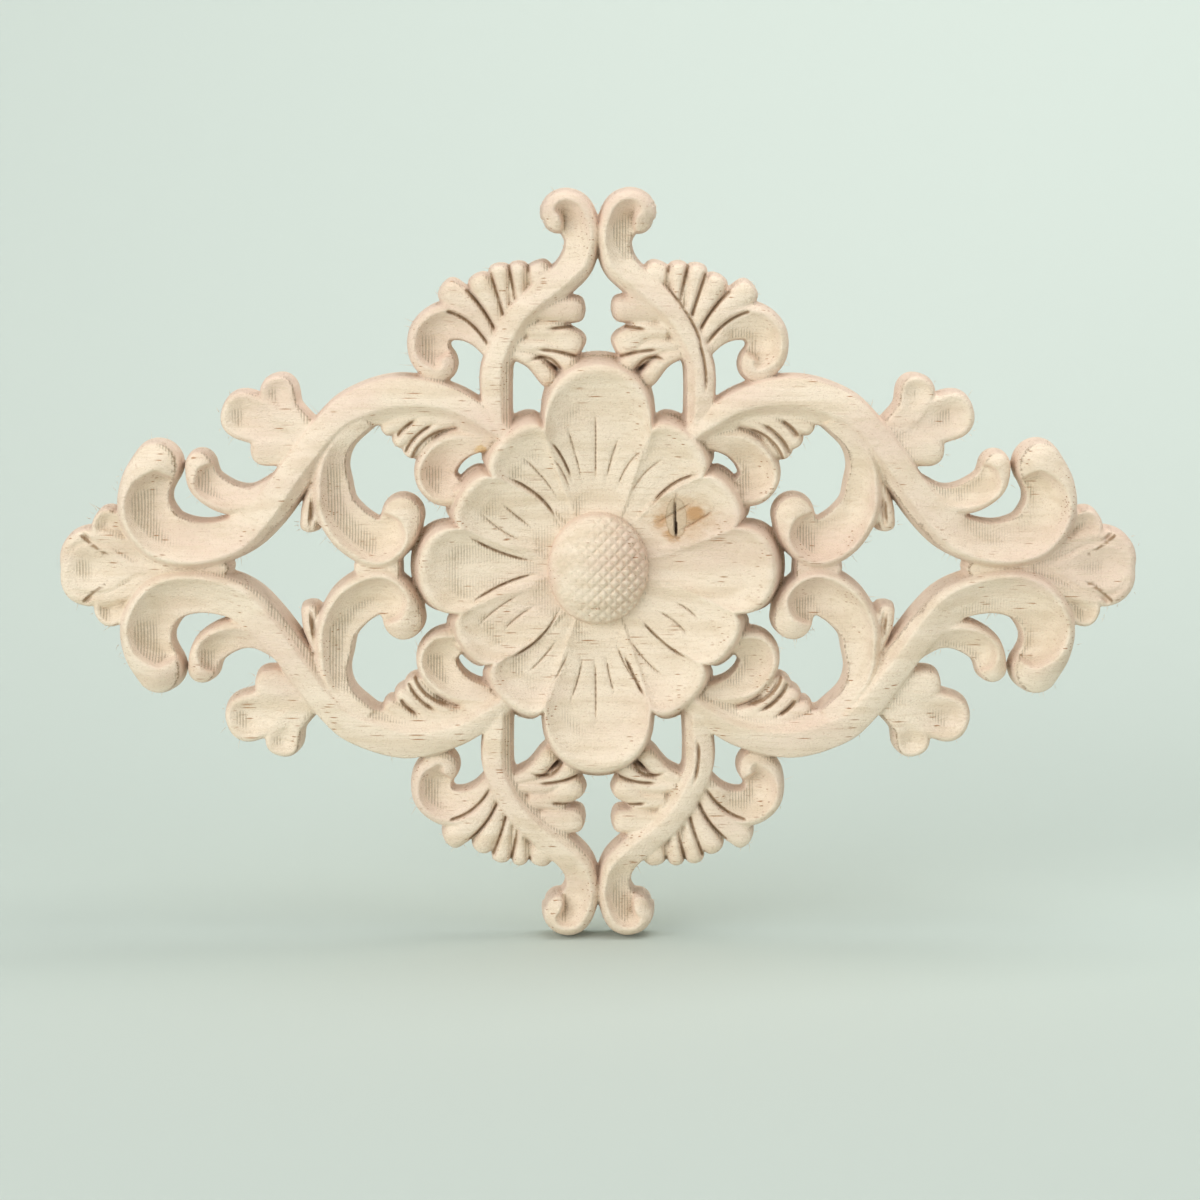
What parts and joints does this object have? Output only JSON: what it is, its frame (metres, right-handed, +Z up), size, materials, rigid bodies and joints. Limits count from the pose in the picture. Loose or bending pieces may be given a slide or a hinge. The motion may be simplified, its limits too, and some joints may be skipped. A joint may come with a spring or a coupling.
{
  "type": "carved wood applique",
  "caption": "Flat-backed pierced wood applique: an oval flower with a cross-cut dome, S and C scrolls, volutes and leaf sprays, the same in all four quarters.",
  "frame": {"origin": "middle of the flat back, in the plane that is glued to the furniture or wall", "axes": "+X along the length, +Z up, +Y into the surface that it is fixed to, so that the carving faces -Y"},
  "size_m": [0.1996, 0.0119, 0.1396],
  "materials": {
    "wood": "bare, machine carved, unfinished"
  },
  "bodies": {
    "root": {"applique": "wood"}
  },
  "joints": []
}
